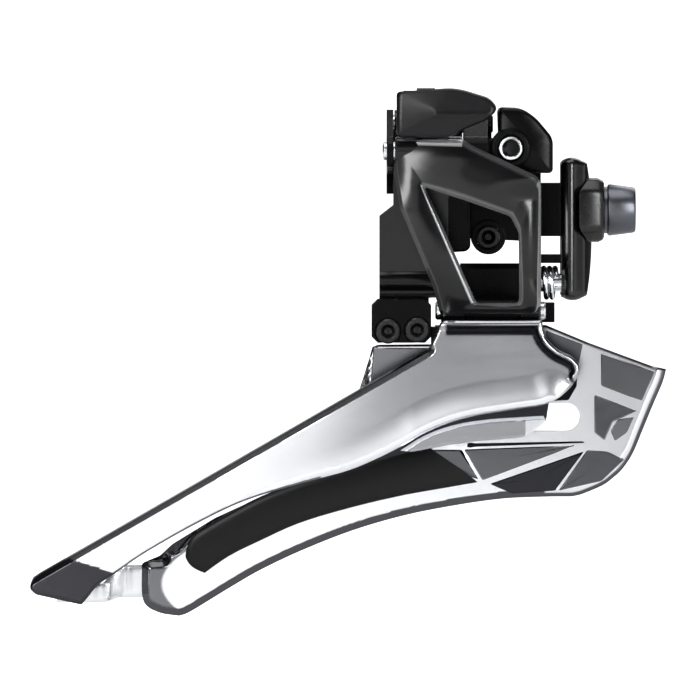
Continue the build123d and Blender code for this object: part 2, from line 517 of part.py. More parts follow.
def build():
    cheek_span = (CHEEKS[0][0], CHEEKS[1][1])
    made = {
        "base_bracket": base_bracket(),
        "base_saddle": base_saddle(),
        "adjuster_block": adjuster_block(),
        "clamp_bolt": clamp_bolt(),
        "clamp_washer": clamp_washer(),
        "support_bolt": support_bolt(),
        "cable_adjust_bolt": cable_adjust_bolt(),
        "outer_upper_pin": pin((REAR_EAR[0] - 0.7, MID_EAR[1]), OUTER_TOP),
        "inner_upper_pin": pin((REAR_EAR[0], MID_EAR[1] + 0.9), INNER_TOP),
        "arm_pin": pin((REAR_EAR[0], MID_EAR[1]), ARM_PIVOT),
        "upper_pin_clip": retaining_clip(MID_EAR[1] + 0.05, INNER_TOP),
        "outer_link": outer_link(),
        "link_cap": link_cap(),
        "outer_upper_bushes": bush_pair(LINK_SPAN, OUTER_TOP),
        "outer_lower_pin": pin((-26.2, -8.0), OUTER_FOOT),
        "toggle_pin_outer": pin(cheek_span, TOGGLE_OUT, TOGGLE_PIN_R),
        "inner_link": inner_link(),
        "inner_upper_bushes": bush_pair(LINK_SPAN, INNER_TOP),
        "inner_lower_bushes": bush_pair(INNER_FOOT_SPAN, INNER_FOOT),
        "hinge_bracket": hinge_bracket(),
        "limit_screw_block": limit_screw_block(),
        "inner_lower_pin": pin((INNER_FOOT_SPAN[0], -4.6), INNER_FOOT),
        "lower_pin_clip": retaining_clip(-5.25, INNER_FOOT),
        "outer_plate": outer_plate(),
        "inner_plate": inner_plate(),
        "skid_plate": skid_plate(),
        "tail_bridge": tail_bridge(),
        "tail_screw": tail_screw(),
        "outer_plate_rivets": rivets(OUTER_RIVETS, (PLATE_FACE_OUT - 1.9, -21.6), 0),
        "inner_plate_rivets": rivets(INNER_RIVETS, (-14.9, PLATE_FACE_IN + INNER_SHEET + 0.35), 0.7),
        "return_spring": return_spring(),
        "cable_arm": cable_arm(),
        "arm_bushes": bush_pair(LINK_SPAN, ARM_PIVOT),
        "cable_washer": cable_washer(),
        "cable_bolt": cable_bolt(),
        "toggle_pin_inner": pin(cheek_span, TOGGLE_IN, TOGGLE_PIN_R),
        "toggle_link": toggle_link(),
    }
    for name, spot in LIMIT_SCREWS.items():
        made[name] = limit_screw(spot)
    return made


if __name__ == "__main__":
    os.makedirs("parts", exist_ok=True)
    for name, shape in build().items():
        export_step(shape, f"parts/{name}.step")
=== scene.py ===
import json
import math
import bpy
import numpy as np
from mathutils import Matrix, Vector


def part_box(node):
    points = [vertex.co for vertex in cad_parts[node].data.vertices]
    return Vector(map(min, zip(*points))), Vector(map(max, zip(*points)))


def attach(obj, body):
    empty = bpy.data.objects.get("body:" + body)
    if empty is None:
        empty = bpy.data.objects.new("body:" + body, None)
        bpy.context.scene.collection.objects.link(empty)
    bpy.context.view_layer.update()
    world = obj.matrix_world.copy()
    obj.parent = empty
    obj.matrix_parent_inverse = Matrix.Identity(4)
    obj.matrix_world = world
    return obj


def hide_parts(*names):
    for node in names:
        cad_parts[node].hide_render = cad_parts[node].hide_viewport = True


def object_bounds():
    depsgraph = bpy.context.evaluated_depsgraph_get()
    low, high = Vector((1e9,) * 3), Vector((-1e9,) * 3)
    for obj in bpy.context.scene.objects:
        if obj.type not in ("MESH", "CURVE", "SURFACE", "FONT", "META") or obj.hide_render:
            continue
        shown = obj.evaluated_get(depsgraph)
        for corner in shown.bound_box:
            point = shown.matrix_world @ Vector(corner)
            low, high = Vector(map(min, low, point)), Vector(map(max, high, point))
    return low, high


# Lengths in this script are millimetres in the row frame: X forwards, Y inboard, Z up. Meshes are written in metres.
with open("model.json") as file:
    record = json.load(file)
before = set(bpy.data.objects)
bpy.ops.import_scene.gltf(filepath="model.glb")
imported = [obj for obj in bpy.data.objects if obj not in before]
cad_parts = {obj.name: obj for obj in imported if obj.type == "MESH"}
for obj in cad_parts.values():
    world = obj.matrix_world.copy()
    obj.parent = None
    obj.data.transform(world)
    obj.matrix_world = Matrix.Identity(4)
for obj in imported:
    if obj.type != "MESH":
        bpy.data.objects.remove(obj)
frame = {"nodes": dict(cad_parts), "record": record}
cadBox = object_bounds()
print("frame loaded:", len(frame["nodes"]), "nodes")


# ends of a node's box in mm
def span(node):
    lo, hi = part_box(node)
    return np.array(lo) * 1000, np.array(hi) * 1000


# s*s*(3 - 2s), with s running 0 to 1 as t runs a to b
def ease(a, b, t):
    s = np.clip((t - a) / (b - a), 0, 1)
    return s * s * (3 - 2 * s)


# straight-line step: (t - a)/(b - a) held between 0 and 1
def ramp(a, b, t):
    return np.clip((t - a) / (b - a), 0, 1)


# broken line resampled to even steps of its arc length
def along(points, count):
    p = np.asarray(points, float)
    d = np.r_[0, np.cumsum(np.linalg.norm(np.diff(p, axis=0), axis=1))]
    t = np.linspace(0, d[-1], count)
    return np.stack([np.interp(t, d, p[:, k]) for k in range(p.shape[1])], -1)


# Catmull-Rom cubic through the points, resampled evenly
def curve(points, count, each=12):
    p = np.asarray(points, float)
    p = np.vstack([2 * p[0] - p[1], p, 2 * p[-1] - p[-2]])
    t = np.linspace(0, 1, each)[None, :, None]
    a, b, c, d = (p[k:len(p) - 3 + k][:, None, :] for k in range(4))
    q = 0.5 * (2 * b + (c - a) * t + (2 * a - 5 * b + 4 * c - d) * t ** 2 + (3 * b - a - 3 * c + d) * t ** 3)
    return along(q.reshape(-1, p.shape[1]), count)


# closed outline with each corner replaced by the quadratic (1-t)^2 P0 + 2t(1-t) P + t^2 P2
def rounded(points, radius, each=7):
    p = np.asarray(points, float)
    a, b = np.roll(p, 1, 0) - p, np.roll(p, -1, 0) - p
    la, lb = (np.linalg.norm(v, axis=1, keepdims=True) for v in (a, b))
    r = np.minimum(np.broadcast_to(np.asarray(radius, float).reshape(-1, 1), la.shape), 0.45 * np.minimum(la, lb))
    t = np.linspace(0, 1, each)[None, :, None]
    p0, p2 = (p + a / la * r)[:, None], (p + b / lb * r)[:, None]
    return ((1 - t) ** 2 * p0 + 2 * t * (1 - t) * p[:, None] + t ** 2 * p2).reshape(-1, 2)


# outline moved inwards: each point goes by / (1 + n1.n2) along n1 + n2, the normals of its two edges
def inset(loop, by):
    e = np.roll(loop, -1, 0) - loop
    n = np.stack([-e[:, 1], e[:, 0]], -1) / np.maximum(np.linalg.norm(e, axis=1, keepdims=True), 1e-9)
    m = np.roll(n, 1, 0)
    area = np.sum(loop[:, 0] * np.roll(loop[:, 1], -1) - np.roll(loop[:, 0], -1) * loop[:, 1])
    return loop + np.sign(area) * by * (n + m) / np.maximum(1 + np.sum(n * m, 1, keepdims=True), 0.35)


# outline in a plane raised to 3-D: the missing coordinate is the height
def lift(loop, height, plane):
    h = np.broadcast_to(height, loop[:, 0].shape)
    order = {"xz": (loop[:, 0], h, loop[:, 1]), "yz": (h, loop[:, 0], loop[:, 1]), "xy": (loop[:, 0], loop[:, 1], h)}
    return np.stack(order[plane], -1)


# distance from points to a broken line: the least over its segments of |p - a - t(b - a)|, t held in 0..1
def distance(points, line):
    p = points.reshape(-1, 1, 2)
    a, b = np.asarray(line, float)[:-1], np.asarray(line, float)[1:]
    ab = b - a
    t = np.clip(np.sum((p - a) * ab, -1) / np.maximum(np.sum(ab * ab, -1), 1e-9), 0, 1)
    return np.sqrt(np.min(np.sum((p - a - t[..., None] * ab) ** 2, -1), 1)).reshape(points.shape[:-1])


# Coons patch: ruled across plus ruled along minus the bilinear blend of the four corners
def coons(top, bottom, left, right, lean=0.0):
    u = np.linspace(0, 1, len(top))[:, None, None]
    v = np.linspace(0, 1, len(left))
    v = ((1 - lean) * v + lean * (0.5 - 0.5 * np.cos(np.pi * v)))[None, :, None]
    across = (1 - v) * top[:, None] + v * bottom[:, None]
    lengthwise = (1 - u) * left[None] + u * right[None]
    corners = (1 - u) * ((1 - v) * top[0] + v * bottom[0]) + u * ((1 - v) * top[-1] + v * bottom[-1])
    return across + lengthwise - corners


# closed mesh from vertices in mm and arrays of triangles or quads, turned so that its volume is positive
def solid(name, verts, faces, body, material, hides=(), tone=None, sharp=32):
    used, flatFaces = np.unique(np.concatenate([f.ravel() for f in faces]), return_inverse=True)
    cuts = np.cumsum([f.size for f in faces])[:-1]
    faces = [part.reshape(f.shape) for part, f in zip(np.split(flatFaces, cuts), faces)]
    verts = np.asarray(verts, float).reshape(-1, 3)[used]
    tone = None if tone is None else np.asarray(tone, float).ravel()[used]
    tri = np.vstack([f[:, [0, k, k + 1]] for f in faces for k in range(1, f.shape[1] - 1)])
    volume = np.sum(np.cross(verts[tri[:, 0]], verts[tri[:, 1]]) * verts[tri[:, 2]])
    if volume < 0:
        faces = [f[:, ::-1] for f in faces]
    mesh = bpy.data.meshes.new(name)
    loops = np.concatenate([f.ravel() for f in faces])
    sizes = np.concatenate([np.full(len(f), f.shape[1]) for f in faces])
    mesh.vertices.add(len(verts))
    mesh.vertices.foreach_set("co", (verts * 0.001).ravel())
    mesh.loops.add(len(loops))
    mesh.loops.foreach_set("vertex_index", loops)
    mesh.polygons.add(len(sizes))
    mesh.polygons.foreach_set("loop_start", np.r_[0, np.cumsum(sizes)[:-1]])
    mesh.update(calc_edges=True)
    mesh.validate()
    mesh.polygons.foreach_set("use_smooth", np.ones(len(mesh.polygons), bool))
    mesh.set_sharp_from_angle(angle=math.radians(sharp))
    if tone is not None:
        mesh.attributes.new("tone", "FLOAT", "POINT").data.foreach_set("value", tone)
    obj = bpy.data.objects.new(name, mesh)
    bpy.context.scene.collection.objects.link(obj)
    mesh.materials.append(material)
    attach(obj, body)
    if hides:
        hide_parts(*hides)
    return obj


# skin through closed sections: each quad joins two neighbours on one section to the same two on the next
def loft(sections, ring=False):
    s = np.asarray(sections, float)
    n, m = s.shape[:2]
    i = np.arange(n * m).reshape(n, m)
    a, b = (i, np.roll(i, -1, 0)) if ring else (i[:-1], i[1:])
    faces = [np.stack([a, np.roll(a, -1, 1), np.roll(b, -1, 1), b], -1).reshape(-1, 4)]
    verts = s.reshape(-1, 3)
    if not ring:
        verts = np.vstack([verts, s[0].mean(0), s[-1].mean(0)])
        first, last = i[0], i[-1]
        faces.append(np.stack([np.roll(first, -1), first, np.full(m, n * m)], -1))
        faces.append(np.stack([last, np.roll(last, -1), np.full(m, n * m + 1)], -1))
    return verts, faces


# two like grids joined by a wall along every edge that only one of the kept quads has
def slab(front, back, keep=None):
    n, m = front.shape[:2]
    i = np.arange(n * m).reshape(n, m)
    quads = np.stack([i[:-1, :-1], i[1:, :-1], i[1:, 1:], i[:-1, 1:]], -1).reshape(-1, 4)
    if keep is not None:
        quads = quads[keep.ravel()]
    a, b = quads.ravel(), np.roll(quads, -1, 1).ravel()
    lone = ~np.isin(a * n * m + b, b * n * m + a)
    a, b = a[lone], b[lone]
    wall = np.stack([b, a, a + n * m, b + n * m], -1)
    return np.vstack([front.reshape(-1, 3), back.reshape(-1, 3)]), [quads, (quads + n * m)[:, ::-1], wall]


# slot through a flat grid: points within half a cell of |p - q| = r move onto it, and quads inside it are dropped
def pierce(flat, ends, r, reachOut):
    a, b = np.asarray(ends, float)
    t = np.clip(np.sum((flat - a) * (b - a), -1) / np.sum((b - a) ** 2), 0, 1)
    away = flat - a - t[..., None] * (b - a)
    far = np.maximum(np.linalg.norm(away, axis=-1), 1e-6)
    s = far - r
    near = np.abs(s) < reachOut
    flat = np.where(near[..., None], flat - away / far[..., None] * s[..., None], flat)
    s = np.where(near, 0, s)
    inside = np.minimum(np.minimum(s[:-1, :-1], s[1:, :-1]), np.minimum(s[1:, 1:], s[:-1, 1:])) < 0
    return flat, ~inside


# several closed skins as one mesh: each one's faces count on from the vertices before it
def join(skins):
    starts = np.cumsum([0] + [len(v) for v, f in skins[:-1]])
    faces = [f + k for (v, group), k in zip(skins, starts) for f in group]
    return np.vstack([v for v, f in skins]), faces


# outline stacked at several heights, each level inset from the last; a level may bend its height with the loop
def stack(loop, levels, plane):
    rows = [(inset(loop, by), h) for by, h in levels]
    return loft([lift(r, h(r) if callable(h) else h, plane) for r, h in rows])


# circle of radius r, or hexagon of apothem r: r / cos(angle from the nearest flat's middle)
def turned(profile, centre, axis, sides=72):
    q = np.linspace(0, 2 * np.pi, sides, endpoint=False)
    hexagon = 1 / np.cos(np.mod(q, np.pi / 3) - np.pi / 6)
    axis = np.asarray(axis, float)
    side = np.array([0, 0, 1.0]) if abs(axis[2]) < 0.5 else np.array([1.0, 0, 0])
    other = np.cross(axis, side)
    rows = []
    for r, h, shape in profile:
        k = (hexagon if shape == "x" else np.ones(sides)) * r
        rows.append(centre + h * axis + k[:, None] * (np.cos(q)[:, None] * side + np.sin(q)[:, None] * other))
    return loft(rows)


# round wire: circle of radius r carried along a path in the frame of its tangent and a fixed direction
def wire(path, r, guide, sides=16):
    t = np.gradient(path, axis=0)
    t /= np.linalg.norm(t, axis=1, keepdims=True)
    n = np.cross(t, guide)
    n /= np.linalg.norm(n, axis=1, keepdims=True)
    b = np.cross(t, n)
    q = np.linspace(0, 2 * np.pi, sides, endpoint=False)[None, :, None]
    return loft(path[:, None] + r * (np.cos(q) * n[:, None] + np.sin(q) * b[:, None]))


slotOf = {}


# principled surface whose roughness wavers with stretched object-space noise, whose colour wavers with that noise or,
# when a dark colour is given, follows the painted shade and painted highlights of the tone attribute, and whose edges
# are softened
def finish(name, slot, light, dark=None, metal=1.0, rough=0.3, spread=0.08, grain=(900, 900, 900), bump=0.02,
           coat=0.0, edge=0.15, paintedShine=False, specular=0.5):
    m = bpy.data.materials.new(name)
    slotOf[name] = slot
    m.use_nodes = True
    nodes, links = m.node_tree.nodes, m.node_tree.links
    shader = nodes["Principled BSDF"]
    coords = nodes.new("ShaderNodeTexCoord")
    place = nodes.new("ShaderNodeMapping")
    place.inputs["Scale"].default_value = grain
    links.new(coords.outputs["Object"], place.inputs["Vector"])
    noise = nodes.new("ShaderNodeTexNoise")
    noise.inputs["Scale"].default_value = 1.0
    noise.inputs["Detail"].default_value = 4.0
    links.new(place.outputs["Vector"], noise.inputs["Vector"])
    spreadMap = nodes.new("ShaderNodeMapRange")
    spreadMap.inputs["To Min"].default_value = max(rough - spread, 0.02)
    spreadMap.inputs["To Max"].default_value = rough + spread
    links.new(noise.outputs["Fac"], spreadMap.inputs["Value"])
    links.new(spreadMap.outputs["Result"], shader.inputs["Roughness"])
    mix = nodes.new("ShaderNodeMix")
    mix.data_type = "RGBA"
    low = dark if dark else tuple(c * 0.9 for c in light)
    mix.inputs["A"].default_value = (*low, 1)
    mix.inputs["B"].default_value = (*light, 1)
    # with a dark colour given, the tone attribute sets the colour between dark and light: painted shade and painted
    # highlights on the blade, sheet and link
    if dark:
        tone = nodes.new("ShaderNodeAttribute")
        tone.attribute_name = "tone"
        links.new(tone.outputs["Fac"], mix.inputs["Factor"])
    else:
        links.new(noise.outputs["Fac"], mix.inputs["Factor"])
    links.new(mix.outputs["Result"], shader.inputs["Base Color"])
    shader.inputs["Metallic"].default_value = metal
    # painted highlight: tone also turns the surface metallic, so the link's painted edge highlights show as bright
    # metal
    if paintedShine:
        links.new(tone.outputs["Fac"], shader.inputs["Metallic"])
    shader.inputs["Specular IOR Level"].default_value = specular
    shader.inputs["Coat Weight"].default_value = coat
    shader.inputs["Coat Roughness"].default_value = 0.08
    soft = nodes.new("ShaderNodeBevel")
    soft.samples = 4
    soft.inputs["Radius"].default_value = edge * 0.001
    relief = nodes.new("ShaderNodeBump")
    relief.inputs["Strength"].default_value = bump
    relief.inputs["Distance"].default_value = 0.0001
    links.new(noise.outputs["Fac"], relief.inputs["Height"])
    links.new(soft.outputs["Normal"], relief.inputs["Normal"])
    links.new(relief.outputs["Normal"], shader.inputs["Normal"])
    return m


silver = finish("bladeSilver", "cage_silver", (0.80, 0.81, 0.84), (0.02, 0.02, 0.025), rough=0.26, spread=0.03,
                grain=(60, 900, 1400), bump=0.015, edge=0.1)
nickel = finish("sheetNickel", "inner_steel", (0.78, 0.79, 0.82), (0.02, 0.02, 0.025), rough=0.17, spread=0.03,
                grain=(700, 700, 700), bump=0.02, edge=0.12)
resin = finish("skidResin", "skid_resin", (0.006, 0.006, 0.007), metal=0.0, rough=0.4, spread=0.06, bump=0.05,
               specular=0.3)
chrome = finish("brightSteel", "bright_steel", (0.78, 0.79, 0.81), rough=0.24, spread=0.05, bump=0.01, edge=0.08)
# glossBlack's light colour shows only where tone paints highlights on the link's edges
glossBlack = finish("glossBlack", "black_gloss", (0.75, 0.76, 0.78), (0.003, 0.003, 0.0035), metal=0.0, rough=0.19,
                    spread=0.04, bump=0.01, edge=0.2, paintedShine=True, specular=0.5)
satinBlack = finish("satinBlack", "black_satin", (0.003, 0.003, 0.0035), metal=0.0, rough=0.26, spread=0.05,
                    bump=0.06, edge=0.3, specular=0.14)
saddleBlack = finish("saddleBlack", "black_satin", (0.003, 0.003, 0.0035), metal=0.0, rough=0.2, spread=0.04,
                     bump=0.03, edge=0.3, specular=0.7)
blackBolt = finish("blackBolt", "black_bolt", (0.010, 0.010, 0.011), metal=0.0, rough=0.26, spread=0.06, bump=0.03,
                   specular=0.5)
greyBolt = finish("greyBolt", "grey_bolt", (0.13, 0.135, 0.15), metal=1.0, rough=0.34, spread=0.07, bump=0.05)
capResin = finish("capResin", "cap_resin", (0.008, 0.008, 0.009), metal=0.0, rough=0.3, spread=0.05, bump=0.04,
                  edge=0.3, specular=0.3)
finishes = {slotOf[m.name]: m for m in (silver, nickel, resin, chrome, glossBlack, satinBlack, blackBolt, greyBolt,
                                        capResin)}
for part in frame["record"]["subparts"]:
    shown = frame["nodes"][part["node"]]
    shown.data.materials.clear()
    shown.data.materials.append(finishes[part["material_slot"]])
print("finishes made:", len(finishes))


# outer cage plate: a deep blade with a sunk nose, a bead along its foot, and a flange and a finger below the bead
blade = {
    "top": [(-92.8, -61.0), (-92.4, -60.0), (-91.2, -59.2), (-27.4, -22.6), (-26.3, -20.5), (-25.4, -18.2),
            (-24.6, -17.8), (-8.7, -17.8)],
    "rim": [(-8.7, -17.8), (-8.1, -20.4), (-6.2, -22.5), (-3.6, -23.9), (-2.5, -25.8), (-3.5, -28.2), (-5.6, -30.3),
            (-7.4, -31.3)],
    "foot": [(-84.4, -64.5), (-81.8, -61.4), (-78.4, -59.0), (-73.5, -55.7), (-65.0, -50.9), (-57.5, -47.4),
             (-48.5, -44.6), (-41.0, -42.6), (-36.0, -40.6), (-31.0, -38.1), (-28.5, -36.6), (-25.2, -35.1),
             (-21.8, -34.0), (-18.5, -33.3), (-15.2, -32.8), (-11.8, -32.3), (-9.0, -31.9), (-7.4, -31.3)],
    "tail": [(-92.8, -61.0), (-92.9, -61.9), (-92.0, -62.8), (-84.4, -64.5)], "behindTail": (-80.0, -60.0),
    "tailRound": 0.4,
    "flangeTop": [(-37.0, -40.4), (-31.0, -37.2), (-25.2, -34.3), (-18.5, -32.5), (-11.8, -31.5), (-7.4, -30.7)],
    "flangeFoot": [(-36.0, -40.9), (-29.2, -39.1), (-21.8, -37.9), (-15.2, -37.3), (-11.2, -36.7), (-8.0, -34.4)],
    "fingerTop": [(-32.0, -39.2), (-28.5, -37.0), (-25.2, -35.6), (-21.8, -34.7), (-18.5, -34.2), (-15.2, -33.9),
                  (-8.4, -33.5)],
    "fingerFoot": [(-30.0, -39.4), (-21.8, -37.95), (-15.2, -37.35), (-11.2, -36.75), (-8.0, -34.5)],
    "flare": 2.0, "depth": 3.5, "tailDepth": 2.6, "flange": 1.15, "finger": 1.95, "dish": 0.8,
    "topDrop": 1.0, "topBevel": 1.15, "soften": 0.45, "softWidth": 0.5, "footDrop": 0.8, "footBevel": 1.3,
    "tailSlope": 0.07, "tip": [(-86.5, -56.9), (-79.6, -59.0)],
    # topTone paints shade on the top chamfer, noseTone paints the nose darker, footTone paints a shade line along the
    # foot, tipTone colours the tail tip near black
    "topTone": 0.45, "noseTone": 0.5, "footTone": 0.15, "tipTone": 0.05, "flangeTone": 0.04, "fingerTone": 0.5,
}


# front y = back - depth, with a dish inside the rim, and e^2 rounding where e is nearness to an edge
def makeBlade():
    d = blade
    hi = span("outer_plate")[1]
    top, foot = along(d["top"], 330), curve(d["foot"], 330)
    each = 7  # points that round one corner
    corners = rounded(d["tail"] + [d["behindTail"]], d["tailRound"], each)
    left, right = along(corners[each:4 * each], 90), curve(d["rim"], 90)
    left[0], left[-1] = top[0], foot[0]
    flat = coons(top, foot, left, right, 0.35)
    x, z = flat[..., 0], flat[..., 1]
    backOf = lambda x: hi[1] + (x - hi[0]) * math.tan(math.radians(d["flare"]))
    dTop = distance(flat, [(-95, -61.5)] + d["top"][2:4])
    dBrow, dNose = distance(flat, [(-24.9, -17.8), d["top"][-1]]), distance(flat, right[:60])
    dRim = np.minimum(dBrow, dNose)
    dFoot = distance(flat, foot)
    dEdge = np.minimum(np.minimum(distance(flat, top), dFoot), np.minimum(distance(flat, left), distance(flat, right)))
    pocket = ease(0.7, 1.5, dRim) * ease(0.8, 5.5, dFoot) * ease(-46, -16, x)
    front = d["tailDepth"] + (d["depth"] - d["tailDepth"]) * ramp(-80, -30, x) - d["dish"] * pocket
    front -= d["topDrop"] * (1 - ramp(0, d["topBevel"], dTop))
    front -= d["soften"] * (1 - np.clip(dEdge / d["softWidth"], 0, 1)) ** 2
    front -= d["footDrop"] * (1 - np.clip(dFoot / d["footBevel"], 0, 1)) ** 2 * ease(-60, -40, x)
    front -= d["tailSlope"] * np.clip(dFoot, 0, 14) * (1 - ease(-62, -30, x))
    tip = np.asarray(d["tip"])
    beyond = (x - tip[0, 0]) * (tip[1, 1] - tip[0, 1]) - (z - tip[0, 1]) * (tip[1, 0] - tip[0, 0])
    # painted shade: tone darkens the top chamfer band, the nose away from the foot and a thin line along the foot edge
    tone = d["topTone"] + (1 - d["topTone"]) * ramp(1.0, 1.3, dTop)
    tone = tone * (1 - d["noseTone"] * ease(-62, -24, x) * ease(0.6, 4.5, dFoot))
    tone = np.where((dFoot < 0.3) & (x < -45), d["footTone"], tone)
    # the tail tip beyond the tip line is coloured near black
    tone = np.where(beyond > 0, d["tipTone"], tone)
    thin = 1.9 - 1.4 * ramp(-25.5, -29.5, z)  # the painted shade band inside the rim, standing in for the shadow of the pocket wall, narrows downwards
    wall = np.maximum(1 - ramp(2.3, 2.8, dBrow), 1 - ramp(thin, thin + 0.4, dNose))
    wall = wall * ramp(0.55, 0.75, dRim) * ramp(-24.9, -24.4, x)
    tone = np.where(z > -30.0, np.minimum(tone, 1 - wall), tone)
    verts, faces = slab(np.stack([x, backOf(x) - front, z], -1), np.stack([x, backOf(x), z], -1))
    # the back face repeats the front's darkest marks, painted shade included
    backTone = np.where(tone < 0.3, 0.1, 0.9)
    tones = np.r_[tone.ravel(), backTone.ravel()]
    solid("bladeBody", verts, faces, "cage", silver, ("outer_plate",), tones)

    top, foot = curve(d["flangeTop"], 160), curve(d["flangeFoot"], 160)
    flat = coons(top, foot, along([top[0], foot[0]], 24), along([top[-1], foot[-1]], 24))
    x, z = flat[..., 0], flat[..., 1]
    verts, faces = slab(np.stack([x, backOf(x) - d["flange"], z], -1), np.stack([x, backOf(x), z], -1))
    solid("bladeFlange", verts, faces, "cage", silver, (), np.full(len(verts), d["flangeTone"]))

    top, foot = curve(d["fingerTop"], 160), curve(d["fingerFoot"], 160)
    flat = coons(top, foot, along([top[0], foot[0]], 30), along([top[-1], foot[-1]], 30), 0.3)
    x, z = flat[..., 0], flat[..., 1]
    dTop = distance(flat, top)
    front = d["finger"] - 0.55 * (1 - ramp(0, 0.55, dTop)) - 0.3 * (1 - ramp(0, 0.25, distance(flat, foot)))
    # painted shade: the finger's face is darker, its top edge and tip stay bright
    tone = np.where((dTop < 0.6) | (x > -11.4), 1.0, d["fingerTone"])
    verts, faces = slab(np.stack([x, backOf(x) - front, z], -1), np.stack([x, backOf(x) - 0.2, z], -1))
    solid("bladeFinger", verts, faces, "cage", silver, (), np.r_[tone.ravel(), tone.ravel()])


makeBlade()
print("blade made")

# inner cage plate: a pressed sheet with a bright rim, framed facets at the nose and a slot; its edges and facets carry
# painted shade
sheet = {
    "top": [(-71.2, -57.9), (-68.5, -56.6), (-66.6, -54.4), (-60.0, -49.9), (-52.0, -46.0), (-45.0, -42.4),
            (-40.0, -38.0), (-37.6, -32.0), (-37.2, -26.0), (-36.6, -22.6), (-35.6, -22.2), (-26.6, -22.1),
            (-26.0, -19.2), (-25.4, -18.9), (-7.8, -18.9), (-0.8, -21.8), (9.8, -25.7), (12.1, -26.2)],
    "foot": [(-68.6, -67.2), (-66.6, -66.4), (-60.2, -62.5), (-55.2, -59.6), (-48.5, -56.4), (-40.2, -53.1),
             (-31.8, -50.6), (-23.5, -48.9), (-15.2, -47.7), (-8.0, -47.35), (-3.5, -47.3)],
    "nose": [(12.1, -26.2), (11.5, -28.4), (9.8, -32.4), (8.2, -36.3), (6.6, -40.1), (4.9, -42.7), (3.2, -44.3),
             (1.5, -45.5), (-1.8, -46.9), (-3.5, -47.3)],
    "tail": [(-71.2, -57.9), (-74.4, -58.3), (-74.8, -60.0), (-74.5, -64.8), (-72.0, -66.6), (-68.6, -67.2)],
    "flare": 1.3, "gauge": 1.3, "rise": 0.85, "slot": [(-11.3, -34.1), (-4.5, -34.1)], "slotRadius": 2.3,
    "rimTone": 0.12, "topTone": 0.15, "tailTone": 0.2,
}
# pressed facets: corners, height over the sheet at the lowest corner, slope along x and z, and brightness; the
# brightness is painted shade and painted reflection for each facet
facets = [
    {"at": [(1.3, -23.5), (10.3, -26.6), (8.1, -31.5), (1.3, -28.9)],
     "high": 0.05, "tilt": (-0.03, 0.01), "tone": 0.3},
    {"at": [(0.2, -30.4), (7.4, -33.1), (3.2, -34.9), (1.9, -38.0), (0.2, -36.7)],
     "high": 0.05, "tilt": (-0.04, -0.02), "tone": 0.42},
    {"at": [(2.9, -36.4), (4.1, -34.5), (6.9, -34.0), (5.7, -36.7), (3.6, -38.1)],
     "high": 0.05, "tilt": (-0.05, 0.02), "tone": 0.26},
    {"at": [(-1.0, -39.6), (2.3, -39.8), (5.2, -41.1), (1.4, -44.7), (-5.7, -46.3)],
     "high": 0.05, "tilt": (-0.04, 0.02), "tone": 0.14},
    {"at": [(-17.1, -45.2), (-1.5, -39.8), (-6.2, -46.3), (-13.4, -46.8)],
     "high": 0.05, "tilt": (-0.02, 0.03), "tone": 0.03},
    {"at": [(-21.4, -39.5), (-2.9, -38.8), (-18.3, -44.6)],
     "high": 0.05, "tilt": (-0.03, 0.0), "tone": 0.28},
    {"at": [(-29.5, -39.6), (-22.0, -39.6), (-18.9, -44.5), (-24.0, -43.0)],
     "high": 0.1, "tilt": (0.0, 0.02), "tone": 0.14},
    # painted shadow: a thin flat strip below the slot, coloured black
    {"at": [(-20.8, -38.4), (-1.6, -38.0), (-1.2, -38.5), (-20.9, -39.2)],
     "high": 0.04, "tilt": (0.0, 0.0), "tone": 0.0},
    # painted shade on the sheet behind the blade's brow
    {"at": [(-7.9, -19.6), (-1.6, -22.0), (-2.3, -25.6), (-7.9, -22.0)],
     "high": 0.04, "tilt": (0.0, 0.0), "tone": 0.2},
    # painted shadow: a dark patch between the blade's nose and the slot
    {"at": [(-6.0, -27.0), (-2.5, -26.2), (-2.6, -29.0), (-4.0, -31.4), (-7.6, -31.6)],
     "high": 0.04, "tilt": (0.0, 0.0), "tone": 0.0},
    # painted shade on the sheet's upper rear corner
    {"at": [(-36.4, -22.7), (-26.4, -22.7), (-37.0, -30.6)],
     "high": 0.1, "tilt": (0.02, 0.03), "tone": 0.22},
]


